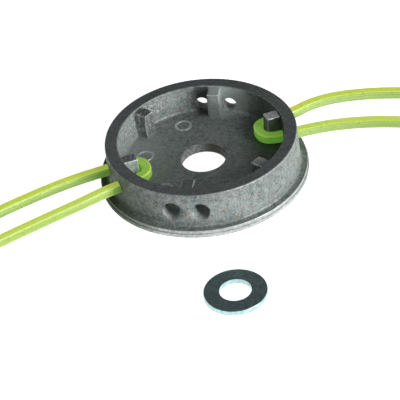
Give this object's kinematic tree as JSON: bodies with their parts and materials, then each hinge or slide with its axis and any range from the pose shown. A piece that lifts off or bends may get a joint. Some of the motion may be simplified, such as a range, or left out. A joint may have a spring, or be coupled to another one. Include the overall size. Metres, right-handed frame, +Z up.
{
  "type": "trimmer head",
  "caption": "Cup-shaped metal head on a wide flange, with square nylon cutting lines folded round lugs inside its wall, and its washer beside it.",
  "frame": {"origin": "centre of the arbor bore's lower edge, on the flat underside of the cup's floor; the flange reaches 3.6 mm below it", "axes": "+Z up along the bore axis, out of the open cup; -Y towards the camera and the washer; +X to the camera's right"},
  "size_m": [0.2751, 0.1451, 0.0206],
  "materials": {
    "casting": "die-cast, tumbled, slightly dull",
    "nylon": "translucent yellow-green nylon",
    "zinc": "bright zinc plating"
  },
  "bodies": {
    "root": {"head_casting": "casting", "line_left": "nylon", "line_right": "nylon", "washer": "zinc"}
  },
  "joints": []
}
